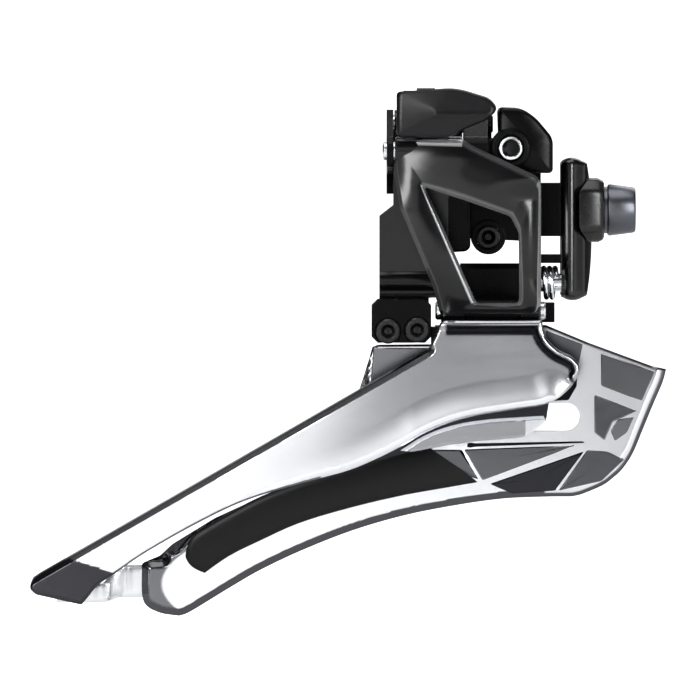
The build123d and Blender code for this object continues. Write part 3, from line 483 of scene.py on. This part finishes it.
# face y less a step over the rim's width; each facet is a plane, height + slope . (p - middle)
def makeSheet():
    d = sheet
    lo, hi = span("inner_plate")
    top, foot = along(d["top"], 360), curve(d["foot"], 360)
    left, right = curve(d["tail"], 110), curve(d["nose"], 110)
    flat, keep = pierce(coons(top, foot, left, right, 0.2), d["slot"], d["slotRadius"], 0.2)
    x, z = flat[..., 0], flat[..., 1]
    faceOf = lambda x: hi[1] - d["gauge"] - (x - lo[0]) * math.tan(math.radians(d["flare"]))
    dTop = distance(flat, top)
    rim = np.minimum(np.minimum(distance(flat, foot), distance(flat, right)), distance(flat, left))
    nose = ease(-24, -19, x)
    h = d["rise"] * ramp(0.0, 1.25, rim) * np.maximum(1 - ramp(4.9, 5.4, rim) * ease(-66, -58, x), nose)
    # painted shade: rimTone darkens the edge bevels, topTone the top edge and tailTone the round bend of the tail
    tone = np.where(rim < 1.2, d["rimTone"], 1.0)
    tone = np.where((x > -8) & (rim < 1.2), d["rimTone"] + (1 - d["rimTone"]) * ramp(0.55, 0.75, rim), tone)
    h = np.clip(h, -0.3, d["rise"] + 0.1) - 0.3 * (1 - np.clip(dTop / 0.3, 0, 1)) ** 2
    tone = np.where(dTop < 0.45, np.minimum(tone, d["topTone"]), tone)
    ahead = x + 71.7 - 0.14 * (z + 61.8) ** 2  # how far in front of a parabola round the tail
    tailShade = d["tailTone"] + (1 - d["tailTone"]) * ramp(0.0, 0.5, ahead)
    tone = np.where(x < -62, np.minimum(tone, tailShade), tone)
    near = np.stack([x, faceOf(x) - h, z], -1)
    back = np.stack([x, faceOf(x) + d["gauge"] - 0.75 * np.clip(h, 0, 1), z], -1)
    verts, faces = slab(near, back, keep)
    # the back face repeats the front's painted shade, lightened
    tones = np.r_[tone.ravel(), (0.25 + 0.75 * tone).ravel()]
    solid("sheetBody", verts, faces, "cage", nickel, ("inner_plate",), tones, sharp=40)
    skins, tones = [], []
    for f in facets:
        loop = rounded(f["at"], 0.3, 4)
        c = loop.mean(0)
        slope = np.asarray(f["tilt"])
        ground = lambda p: faceOf(p[:, 0]) - d["rise"] * (c[0] > -31)
        plane = lambda p, sink: ground(p) + sink - f["high"] - (p - c) @ slope + np.min((loop - c) @ slope)
        rows = [lift(loop, ground(loop) + 0.8, "xz"), lift(loop, plane(loop, 0.15), "xz")]
        rows.append(lift(inset(loop, 0.15), plane(inset(loop, 0.15), 0.0), "xz"))
        skins.append(loft(rows))
        tones.append(np.full(len(skins[-1][0]), f["tone"]))
    solid("sheetFacets", *join(skins), "cage", nickel, (), np.concatenate(tones), sharp=12)


makeSheet()
print("sheet made")

# resin pad the chain rubs on, proud of the sheet between its rim and the blade
pad = {
    "top": [(-67.6, -55.9), (-66.6, -54.0), (-65.2, -52.9), (-60.2, -50.0), (-55.2, -47.4), (-48.5, -44.8),
            (-40.2, -42.3), (-34.0, -40.6), (-27.4, -39.0)],
    "foot": [(-64.4, -60.3), (-60.2, -57.4), (-55.2, -54.9), (-48.5, -51.9), (-40.2, -49.4), (-31.8, -47.4),
             (-24.6, -46.1), (-18.9, -45.1)],
    "tail": [(-67.6, -55.9), (-67.7, -57.6), (-66.6, -59.2), (-64.4, -60.3)],
    "front": [(-27.4, -39.0), (-21.0, -43.4), (-18.9, -45.1)],
    "lift": 0.5, "round": 0.6, "roundWidth": 1.3, "crown": 0.25,
}


# height over the sheet: a quarter circle sqrt(1 - (1 - e)^2) at the edge plus a half sine across
def makePad():
    d = pad
    sheetLo, sheetHi = span("inner_plate")
    flat = coons(curve(d["top"], 150), curve(d["foot"], 150), curve(d["tail"], 48), along(d["front"], 48), 0.4)
    x, z = flat[..., 0], flat[..., 1]
    face = sheetHi[1] - sheet["gauge"] - (x - sheetLo[0]) * math.tan(math.radians(sheet["flare"]))
    edge = np.minimum(distance(flat, curve(d["foot"], 150)), distance(flat, curve(d["top"], 150)))
    edge = np.minimum(edge, distance(flat, curve(d["tail"], 48)))
    h = d["lift"] + d["round"] * np.sqrt(1 - (1 - np.clip(edge / d["roundWidth"], 0, 1)) ** 2)
    h = h + d["crown"] * np.sin(np.pi * ramp(0, 7, edge))
    verts, faces = slab(np.stack([x, face - h, z], -1), np.stack([x, face + 0.02 + 0 * x, z], -1))
    solid("padBody", verts, faces, "cage", resin, ("skid_plate",))


makePad()
print("pad made")

# bent strap under the cage's tail: a rounded bar section carried along its plan, taller at the inner plate
strap = {"thick": 1.2, "crown": (5.4, 5.4, 5.4, 4.6, 3.6, 3.0, 2.9), "sections": 70}


# section (u, v) carried along the plan: path + n u thick / 2, and z = foot + tall (1 + v) / 2
def makeStrap():
    d = strap
    lo, hi = span("tail_bridge")
    back, front = hi[1] - 0.72, lo[1] + 0.74
    plan = [(hi[0], back - 0.19), (hi[0] - 8.0, back - 0.05), (hi[0] - 10.6, back - 0.3), (hi[0] - 11.9, back - 1.6),
            (hi[0] - 13.4, front + 1.6), (hi[0] - 14.6, front + 0.3), (hi[0] - 16.4, front + 0.1), (lo[0], front)]
    path = curve(plan, d["sections"])
    tall = np.interp(np.linspace(0, 1, d["sections"]), np.linspace(0, 1, len(d["crown"])), d["crown"])
    t = np.gradient(path, axis=0)
    t /= np.linalg.norm(t, axis=1, keepdims=True)
    n = np.stack([-t[:, 1], t[:, 0]], -1)
    unit = rounded([(-1, -1), (1, -1), (1, 1), (-1, 1)], 0.5, 6)
    xy = path[:, None] + n[:, None] * (unit[:, :1] * d["thick"] / 2)
    z = lo[2] + tall[:, None] / 2 * (1 + unit[:, 1])
    solid("strapBody", *loft(np.concatenate([xy, z[..., None]], -1)), "cage", chrome, ("tail_bridge",))


makeStrap()

# outer link: a ring between its outline and its window, bowed outwards, with bevelled inner and outer edges
link = {
    "outline": [(-33.0, 12.1), (-21.6, 11.9), (-20.2, 11.0), (-9.6, 6.0), (-8.8, 4.6), (-8.8, -17.2), (-25.3, -17.2),
                (-26.7, -12.0), (-29.2, -6.0), (-32.0, 0.6), (-33.0, 6.2)],
    "window": [(-27.9, 4.1), (-23.5, 2.6), (-21.5, 2.0), (-13.9, -0.7), (-12.5, -3.4), (-12.4, -15.0), (-19.4, -15.0),
               (-21.3, -10.7), (-23.6, -5.5), (-26.4, 0.9), (-27.9, 4.1)],
    "bow": [(-17.4, -23.9), (-15.6, -24.4), (-11.0, -26.3), (-4.0, -27.3), (4.0, -27.5), (8.5, -27.4), (12.2, -26.4)],
    "thick": 1.6, "bevel": 0.55, "crown": 0.35, "middle": -20.5, "half": 12.5, "sweep": 2.0, "inwards": 0.35,
    "perEdge": 26, "smoothings": 5, "knuckle": 2.45, "knuckleBore": 1.97, "footBore": 1.55,
}


# p = outline + k (window - outline); y is the bow's curve less a half sine in k, plus sweep x^2
def makeLink():
    d = link
    lo, hi = span("outer_link")
    out, win = np.asarray(d["outline"]), np.asarray(d["window"])
    t = np.linspace(0, 1, d["perEdge"], endpoint=False)[None, :, None]
    o = (out[:, None] * (1 - t) + np.roll(out, -1, 0)[:, None] * t).reshape(-1, 2)
    w = (win[:, None] * (1 - t) + np.roll(win, -1, 0)[:, None] * t).reshape(-1, 2)
    for _ in range(d["smoothings"]):
        o = (np.roll(o, 1, 0) + 2 * o + np.roll(o, -1, 0)) / 4
        w = (np.roll(w, 1, 0) + 2 * w + np.roll(w, -1, 0)) / 4
    bow = curve(d["bow"], 60)
    across = np.linalg.norm(w - o, axis=1, keepdims=True)
    rows, tones = [], []
    # painted highlights: crest brightens the outline's bevel along the top edge at the rear and along the front edge,
    # shine the window's bevel along its steep edges at the rear
    slope = np.clip(np.abs(np.gradient(w[:, 1]) / (np.hypot(*np.gradient(w, axis=0).T) + 1e-6)), 0, 1)
    shine = np.where((slope > 0.8) & (w[:, 0] < -18), 1.0, 0.12)
    crest = np.where((o[:, 1] > 11) & (o[:, 0] < -21.8), 0.8, 0.05) + np.where(o[:, 0] > -9.2, 0.25, 0)
    steps = [(0.0, d["thick"], 0), (0.0, d["bevel"], 0), (d["bevel"], 0.0, 0)]
    steps += [(None, 0.0, f) for f in np.linspace(0.08, 0.92, 13)]
    steps += [(-d["bevel"], 0.0, 1), (-0.0001, d["bevel"], 1), (-0.0001, d["thick"], 1)]
    for inch, sink, f in steps:
        if inch is None:
            k = (d["bevel"] + f * (across - 2 * d["bevel"])) / across
        else:
            k = inch / across if f == 0 else 1 + inch / across
        p = o + (w - o) * np.clip(k, 0, 1)
        swell = d["crown"] * np.sin(np.pi * np.clip(k[:, 0], 0, 1))
        y = np.interp(p[:, 1], bow[:, 0], bow[:, 1]) + sink - swell + d["inwards"]
        off = (p[:, 0] - d["middle"]) / d["half"]
        rearSweep, frontSweep = ease(0, 7, p[:, 1]), ease(-16, -10, p[:, 1]) * (1 - ease(2, 6, p[:, 1]))
        y += d["sweep"] * off ** 2 * np.where(off < 0, rearSweep, frontSweep)
        rows.append(lift(p, np.maximum(y, lo[1] + 0.02), "xz"))
        paintedShine = inch is not None and sink <= d["bevel"]
        tones.append((crest if f == 0 else shine) * paintedShine)
    skin = loft(np.stack(rows, 1), True)
    solid("linkBody", *skin, "outer_link", glossBlack, ("outer_link",), np.stack(tones, 1), sharp=25)
    pinLo, pinHi = span("outer_upper_bushes")
    c = (pinLo + pinHi) / 2
    r, bore = d["knuckle"], d["knuckleBore"]
    a, b = pinLo[0] - c[0] + 0.05, pinHi[0] - c[0] - 0.05
    knuckle = [(bore, a, "o"), (r - 0.25, a, "o"), (r, a + 0.25, "o"), (r, b - 0.25, "o"), (r - 0.25, b, "o"),
               (bore, b, "o")]
    solid("linkTopKnuckle", *turned(knuckle, c, (1, 0, 0)), "outer_link", glossBlack)
    footLo, footHi = span("outer_lower_pin")
    foot = (footLo + footHi) / 2
    bore = d["footBore"]
    for name, x0, x1 in (("linkRearFoot", lo[0] + 7.75, lo[0] + 11.85), ("linkFrontFoot", hi[0] - 3.55, hi[0] - 0.05)):
        end = np.array([(x0 + x1) / 2, foot[1], foot[2]])
        h = (x1 - x0) / 2
        prof = [(bore, -h, "o"), (r - 0.3, -h, "o"), (r, 0.3 - h, "o"), (r, h - 0.3, "o"), (r - 0.3, h, "o"),
                (bore, h, "o")]
        solid(name, *turned(prof, end, (1, 0, 0)), "outer_link", glossBlack)
    pinLo, pinHi = span("toggle_pin_outer")
    t = (pinLo + pinHi) / 2
    ear = rounded([(c[1] - 1.9, c[2] + 0.5), (t[1] - 1.6, t[2] - 0.4), (t[1] - 1.2, t[2] + 1.25),
                   (t[1] + 1.1, t[2] + 1.25), (t[1] + 1.6, t[2] - 0.4), (c[1] + 1.9, c[2] + 0.5)], 0.9)
    for name, x0 in (("linkRearCheek", pinLo[0]), ("linkFrontCheek", pinHi[0] - 2.0)):
        levels = [(0.3, x0), (0, x0 + 0.25), (0, x0 + 1.75), (0.3, x0 + 2.0)]
        solid(name, *stack(ear, levels, "yz"), "outer_link", glossBlack)


makeLink()

# front edge of the inner link: a web stacked across its gauge, leaning with the link
web = {"outline": [(-24.6, 7.0), (-21.2, 7.0), (-20.5, 3.4), (-20.3, -6.0), (-21.0, -6.7), (-24.6, -6.9)], "gauge": 2.4}


# middle y = foot + (z - foot z) times the slope between the two pivots
def makeWeb():
    d = web
    topLo, topHi = span("inner_upper_bushes")
    footLo, footHi = span("inner_lower_bushes")
    top, foot = (topLo + topHi) / 2, (footLo + footHi) / 2
    middle = lambda p: foot[1] + (p[:, 1] - foot[2]) * (top[1] - foot[1]) / (top[2] - foot[2])
    loop = rounded(d["outline"], 0.6, 5)
    rows = []
    for by, across in ((0.3, -0.5), (0.0, -0.4), (0.0, 0.4), (0.3, 0.5)):
        p = inset(loop, by)
        rows.append(lift(p, middle(p) + across * d["gauge"], "xz"))
    solid("innerLinkWeb", *loft(rows), "inner_link", satinBlack)


makeWeb()
print("link made")

# moulded cap: its face is three planes that meet in a soft crease, and its edge is rounded over
cap = {
    "outline": [(-32.6, 19.8), (-22.7, 20.5), (-17.2, 18.8), (-15.9, 17.0), (-17.6, 15.2), (-21.2, 13.8), (-23.6, 12.3),
                (-32.6, 12.3)],
    "rounds": (0.7, 2.0, 1.2, 1.0, 1.0, 1.2, 1.2, 0.8), "centre": (-25.0, 16.5), "wall": 2.3,
    "crease": [(-40, 13.6), (-32.6, 14.0), (-26.5, 16.0), (-15, 16.1), (-8, 16.1)],
}


# rings p = c + s (loop - c), set back in proportion to their distance from the crease
def makeCap():
    d = cap
    lo = span("link_cap")[0]
    loop = rounded(d["outline"], d["rounds"], 9)
    c = np.array(d["centre"])
    crease = np.asarray(d["crease"])
    rows = []
    levels = [(1.0, d["wall"]), (1.0, 0.75), (0.985, 0.4), (0.96, 0.15), (0.93, 0.0)]
    levels += [(s, 0.0) for s in np.linspace(0.88, 0.04, 26)]
    for s, back in levels:
        p = c + (loop - c) * s
        over = p[:, 1] - np.interp(p[:, 0], crease[:, 0], crease[:, 1])
        lean = 0.42 * np.maximum(over, 0) + 0.5 * np.maximum(-over, 0) + 0.16 * np.maximum(-26 - p[:, 0], 0)
        ledge = 0.35 * np.exp(-(over / 0.35) ** 2)
        rows.append(lift(p, np.minimum(lo[1] + 0.12 + lean * 0.55 - ledge * 0.25 + back, lo[1] + d["wall"]), "xz"))
    solid("capBody", *loft(rows), "outer_link", capResin, ("link_cap",), sharp=50)


makeCap()
print("cap made")

# saddle: rounded pad whose front follows x = sqrt(R^2 - y^2) - R
saddle = {"round": 1.7, "radius": 9.0, "lip": 0.45, "barrel": 0.7}


# side levels are inset by barrel (2t - 1)^2, and the front is closed by rings shrunk by s
def makeSaddle():
    d = saddle
    lo, hi = span("base_saddle")
    loop = rounded([(lo[1], lo[2]), (hi[1], lo[2]), (hi[1], hi[2]), (lo[1], hi[2])], d["round"], 9)
    mid = np.array([0.0, (lo[2] + hi[2]) / 2])
    half = (hi[2] - lo[2]) / 2
    bulge = lambda p: np.sqrt(d["radius"] ** 2 - p[:, 0] ** 2) - d["radius"] + hi[0]
    rows = [lift(inset(loop, 0.9), lo[0], "yz")]
    for t in np.linspace(0.08, 0.92, 9):
        by = d["barrel"] * (2 * t - 1) ** 2
        rows.append(lift(inset(loop, by), lo[0] + t * (bulge(loop) - d["lip"] - lo[0]), "yz"))
    rim = inset(loop, 0.75)
    rows.append(lift(rim, bulge(rim) - 0.2, "yz"))
    rim = inset(loop, 1.0)
    rows.append(lift(rim, bulge(rim), "yz"))
    for s in np.linspace(0.95, 0.03, 22):
        p = mid + (rim - mid) * np.array([s, 1 - (1 - s) * (half - 1) / half])
        rows.append(lift(p, bulge(p), "yz"))
    solid("saddleBody", *loft(rows), "base", saddleBlack, ("base_saddle",))


makeSaddle()

# adjuster block: rounded outline stacked from its mouth inwards, with a turned ring round the bolt
block = {"outline": [(-15.9, 17.2), (-11.9, 17.1), (-9.6, 15.5), (-7.2, 12.6), (-6.85, 11.6), (-6.85, 6.4),
                     (-14.6, 6.4), (-15.6, 8.0)],
         "rounds": (1.0, 1.2, 1.2, 1.2, 1.0, 0.8, 0.8, 0.8)}


def makeBlock():
    d = block
    lo, hi = span("adjuster_block")
    loop = rounded(d["outline"], d["rounds"], 8)
    levels = [(0.6, lo[1] + 0.6), (0.35, lo[1] + 0.75), (0.1, lo[1] + 1.0), (0, lo[1] + 1.4), (0, hi[1] - 0.5),
              (0.4, hi[1])]
    solid("blockBody", *stack(loop, levels, "xz"), "base", satinBlack, ("adjuster_block",))
    bLo, bHi = span("cable_adjust_bolt")
    c = (bLo + bHi) / 2
    c[1] = lo[1]
    ring = [(2.05, 1.0, "o"), (2.05, 0.35, "o"), (2.3, 0.05, "o"), (2.9, 0.0, "o"), (3.25, 0.2, "o"), (3.4, 1.0, "o")]
    solid("blockRing", *turned(ring, c, (0, 1, 0)), "base", satinBlack)
    c[1] = bLo[1]
    barrel = [(1.6, 7.4, "o"), (1.6, 0.9, "o"), (2.0, 0.7, "o"), (2.0, 0.3, "o"), (1.85, 0.04, "o"), (1.6, 0.0, "o"),
              (1.42, 0.15, "o"), (1.4, 1.4, "o"), (1.05, 1.6, "o"), (1.0, 1.7, "x"), (1.0, 3.2, "x"), (0.6, 3.4, "o")]
    solid("adjustBolt", *turned(barrel, c, (0, 1, 0)), "cable_adjust_bolt", chrome, ("cable_adjust_bolt",))


makeBlock()
print("bracket covers made")

# clamp washer: bevelled octagon with a hollow back, x = sqrt(R^2 - y^2) - R behind the frame's hanger
washer = {"outline": [(-6.2, -3.2), (-4.2, -5.3), (4.2, -5.3), (6.2, -3.2), (6.2, 3.2), (4.2, 5.3), (-4.2, 5.3),
                      (-6.2, 3.2)],
          "hollow": 9.05, "bore": 2.8}


def makeWasher():
    d = washer
    hi = span("clamp_washer")[1]
    loop = rounded(d["outline"], 0.9, 6)
    behind = lambda p: np.sqrt(d["hollow"] ** 2 - p[:, 0] ** 2) - d["hollow"] + 0.03
    ring = lambda r: np.stack([r * np.cos(q), r * np.sin(q)], -1)
    q = np.arctan2(loop[:, 1], loop[:, 0])
    rows = [lift(ring(d["bore"]), behind(ring(d["bore"])), "yz")]
    p = inset(loop, 0.25)
    rows.append(lift(p, behind(p), "yz"))
    rows.append(lift(loop, behind(loop) + 0.3, "yz"))
    rows.append(lift(loop, np.maximum(hi[0] - 0.95, behind(loop) + 0.4), "yz"))
    rows.append(lift(inset(loop, 0.35), hi[0] - 0.25, "yz"))
    rows.append(lift(inset(loop, 0.8), hi[0], "yz"))
    rows.append(lift(ring(d["bore"]), hi[0], "yz"))
    verts, faces = loft(np.stack(rows), False)
    count, m = len(rows), len(loop)
    tube = np.arange(m)
    last = tube + (count - 1) * m
    bore = np.stack([tube, last, np.roll(last, -1), np.roll(tube, -1)], -1)
    solid("washerBody", verts[:-2], [faces[0], bore], "clamp_bolt", blackBolt, ("clamp_washer",))


makeWasher()

# clamp bolt: tapered head with a rolled rim and a hexagonal pocket, on a threaded shank
bolt = {"head": 4.3, "tip": 3.75, "tall": 5.05, "pitch": 0.8, "crest": 2.47, "root": 2.12, "flange": 3.9, "key": 2.0}


def makeBolt():
    d = bolt
    lo, hi = span("clamp_bolt")
    c = np.array([lo[0], 0.0, 0.0])
    long = hi[0] - lo[0]
    base, key, flange = long - d["tall"], d["key"], d["flange"]
    prof = [(2.0, 0.0, "o"), (2.35, 0.35, "o")]
    turns = np.arange(0.8, base - 1.2, d["pitch"] / 2)
    prof += [(d["crest"] if k % 2 else d["root"], h, "o") for k, h in enumerate(turns)]
    prof += [(2.4, base - 0.4, "o"), (3.6, base - 0.35, "o"), (flange, base - 0.2, "o"), (flange, base + 0.35, "o"),
             (4.2, base + 0.45, "o"), (d["head"], base + 0.7, "o"), (d["tip"] + 0.06, long - 0.45, "o"),
             (d["tip"] - 0.08, long - 0.12, "o"), (d["tip"] - 0.4, long, "o"), (2.5, long, "o"),
             (2.35, long - 0.1, "o"), (key, long - 0.4, "x"), (key, long - 2.6, "x"), (1.0, long - 3.1, "o")]
    solid("clampBolt", *turned(prof, c, (1, 0, 0), 96), "clamp_bolt", greyBolt, ("clamp_bolt",))


makeBolt()
print("clamp made")

# small socket screws: head, hexagonal pocket and shank as one turned outline
screws = {
    "support_bolt": {"head": 2.0, "tall": 0.0, "key": 1.0, "deep": 2.4, "skin": blackBolt},
    "low_limit_screw": {"head": 2.05, "tall": 1.7, "key": 1.0, "deep": 1.6, "skin": blackBolt},
    "high_limit_screw": {"head": 2.05, "tall": 1.7, "key": 1.0, "deep": 1.6, "skin": blackBolt},
}


def makeScrew(node, d):
    lo, hi = span(node)
    c = np.array([(lo[0] + hi[0]) / 2, lo[1], (lo[2] + hi[2]) / 2])
    long = hi[1] - lo[1]
    shank = 1.45 if d["tall"] else 2.0
    prof = [(d["key"] * 0.55, d["deep"] + 0.35, "o"), (d["key"], d["deep"], "x"), (d["key"], 0.2, "x"),
            (d["key"] + 0.2, 0.0, "o"), (d["head"] - 0.3, 0.0, "o"), (d["head"], 0.3, "o")]
    if d["tall"]:
        prof += [(d["head"], d["tall"] - 0.1, "o"), (d["head"] - 0.1, d["tall"], "o"), (shank, d["tall"], "o")]
    h = np.arange(max(d["tall"], 0.4) + 0.3, long - 1.2, 0.25)
    prof += [(shank - (0.16 if k % 2 else 0.0), v, "o") for k, v in enumerate(h)]
    prof += [(shank * 0.65, long - 0.9, "o"), (shank * 0.65, long - 0.15, "o"), (shank * 0.5, long, "o")]
    solid(node + "Body", *turned(prof, c, (0, 1, 0)), node, d["skin"], (node,))


for node, d in screws.items():
    makeScrew(node, d)

# return spring: wire on a helix, y and z = R cos, R sin of 2 pi n t, x rising evenly
coil = {"turns": 2.35, "wire": 0.45, "mean": 2.4}


# path = middle + R (cos a, sin a), with a = 2 pi turns t
def makeCoil():
    d = coil
    lo, hi = span("return_spring")
    c = (lo + hi) / 2
    t = np.linspace(0, 1, 260)
    a = 2 * np.pi * d["turns"] * t + 0.6
    x = lo[0] + d["wire"] + (hi[0] - lo[0] - 2 * d["wire"]) * t
    path = np.stack([x, c[1] + d["mean"] * np.cos(a), c[2] + d["mean"] * np.sin(a)], -1)
    solid("coilBody", *wire(path, d["wire"], np.array([1.0, 0, 0])), "cage", chrome, ("return_spring",))


makeCoil()
print("screws and spring made")

# floor that sweeps up into a backdrop: z = 0 rising as a quarter circle behind the object
centre = (Vector(cadBox[0]) + Vector(cadBox[1])) / 2
reach = (cadBox[1] - cadBox[0]).length


# in multiples of the object's own diagonal, but for the drop, which is in metres
studio = {"half": 26, "wall": 21, "bend": 4, "drop": 0.02}


def makeStage():
    low = cadBox[0].z - studio["drop"]
    half, bend, back = studio["half"] * reach, studio["bend"] * reach, centre.y + studio["wall"] * reach
    u = np.linspace(-half, half, 3)
    q = np.linspace(0, np.pi / 2, 24)
    flatRun = np.linspace(centre.y - 2 * reach, back, 8)
    run = np.r_[centre.y - half, flatRun, back + bend * np.sin(q[1:]), back + bend]
    rise = np.r_[low, np.full(8, low), low + bend * (1 - np.cos(q[1:])), low + half]
    x, k = np.meshgrid(u, np.arange(len(run)), indexing="ij")
    verts = np.stack([x, run[k], rise[k]], -1)
    n, m = x.shape
    i = np.arange(n * m).reshape(n, m)
    faces = np.stack([i[:-1, :-1], i[1:, :-1], i[1:, 1:], i[:-1, 1:]], -1).reshape(-1, 4)
    mesh = bpy.data.meshes.new("studio")
    mesh.from_pydata((verts.reshape(-1, 3)).tolist(), [], faces.tolist())
    mesh.polygons.foreach_set("use_smooth", np.ones(len(faces), bool))
    obj = bpy.data.objects.new("studio", mesh)
    bpy.context.scene.collection.objects.link(obj)
    paper = bpy.data.materials.new("paper")
    paper.use_nodes = True
    sheen = paper.node_tree.nodes["Principled BSDF"].inputs
    sheen["Base Color"].default_value = (0.9, 0.9, 0.9, 1)
    sheen["Roughness"].default_value = 0.9
    sheen["Emission Color"].default_value = (1, 1, 1, 1)
    seen = paper.node_tree.nodes.new("ShaderNodeLightPath")  # the paper glows for the lens only, not in reflections
    paper.node_tree.links.new(seen.outputs["Is Camera Ray"], sheen["Emission Strength"])
    mesh.materials.append(paper)


makeStage()


# area lamp aimed at the object from an azimuth and elevation: its power is pi times its area times its radiance
def lamp(name, azimuth, elevation, far, wide, tall, radiance):
    data = bpy.data.lights.new(name, "AREA")
    data.shape = "RECTANGLE"
    data.size, data.size_y = wide * reach, tall * reach
    data.energy = math.pi * data.size * data.size_y * radiance
    obj = bpy.data.objects.new(name, data)
    a, e = math.radians(azimuth), math.radians(elevation)
    aside = Vector((math.sin(a) * math.cos(e), -math.cos(a) * math.cos(e), math.sin(e)))
    obj.location = centre + aside * far * reach
    obj.rotation_mode = "QUATERNION"
    obj.rotation_quaternion = (centre - obj.location).to_track_quat("-Z", "Y")
    obj.visible_camera = False
    bpy.context.scene.collection.objects.link(obj)


# name, azimuth, elevation, distance, width and height in diagonals, radiance
lamp("frontBox", -25, 10, 5.0, 5.0, 4.0, 1.0)
lamp("leftStrip", -31, 20, 4.9, 1.4, 3.6, 10.0)
lamp("rightStrip", 32, 14, 5.0, 0.7, 3.0, 17.0)
lamp("rightBox", 76, 4, 5.0, 4.0, 3.0, 0.9)
lamp("topBox", 20, 84, 4.6, 3.6, 3.6, 2.2)
lamp("backBox", 155, 38, 4.6, 3.0, 2.4, 2.2)
lamp("backStrip", 212, 14, 4.8, 2.4, 3.4, 0.9)
world = bpy.data.worlds.new("studioAir")
bpy.context.scene.world = world
world.use_nodes = True
world.node_tree.nodes["Background"].inputs["Color"].default_value = (1, 1, 1, 1)
world.node_tree.nodes["Background"].inputs["Strength"].default_value = 0.1
bpy.context.scene.view_settings.view_transform = "Standard"
bpy.context.scene.view_settings.look = "Medium High Contrast"

camera = bpy.data.objects.new("camera", bpy.data.cameras.new("camera"))
bpy.context.scene.collection.objects.link(camera)
bpy.context.scene.camera = camera
view = {"lens": 617, "away": 2.0, "tilt": 1.5}
camera.data.lens = view["lens"]
camera.data.clip_start, camera.data.clip_end = 0.05, 20
aim = Vector((centre.x, 0, centre.z))
tilt = math.radians(view["tilt"])
camera.location = aim + Vector((0, -math.cos(tilt), math.sin(tilt))) * view["away"]
camera.rotation_mode = "QUATERNION"
camera.rotation_quaternion = (aim - camera.location).to_track_quat("-Z", "Y")
print("stage and camera set")
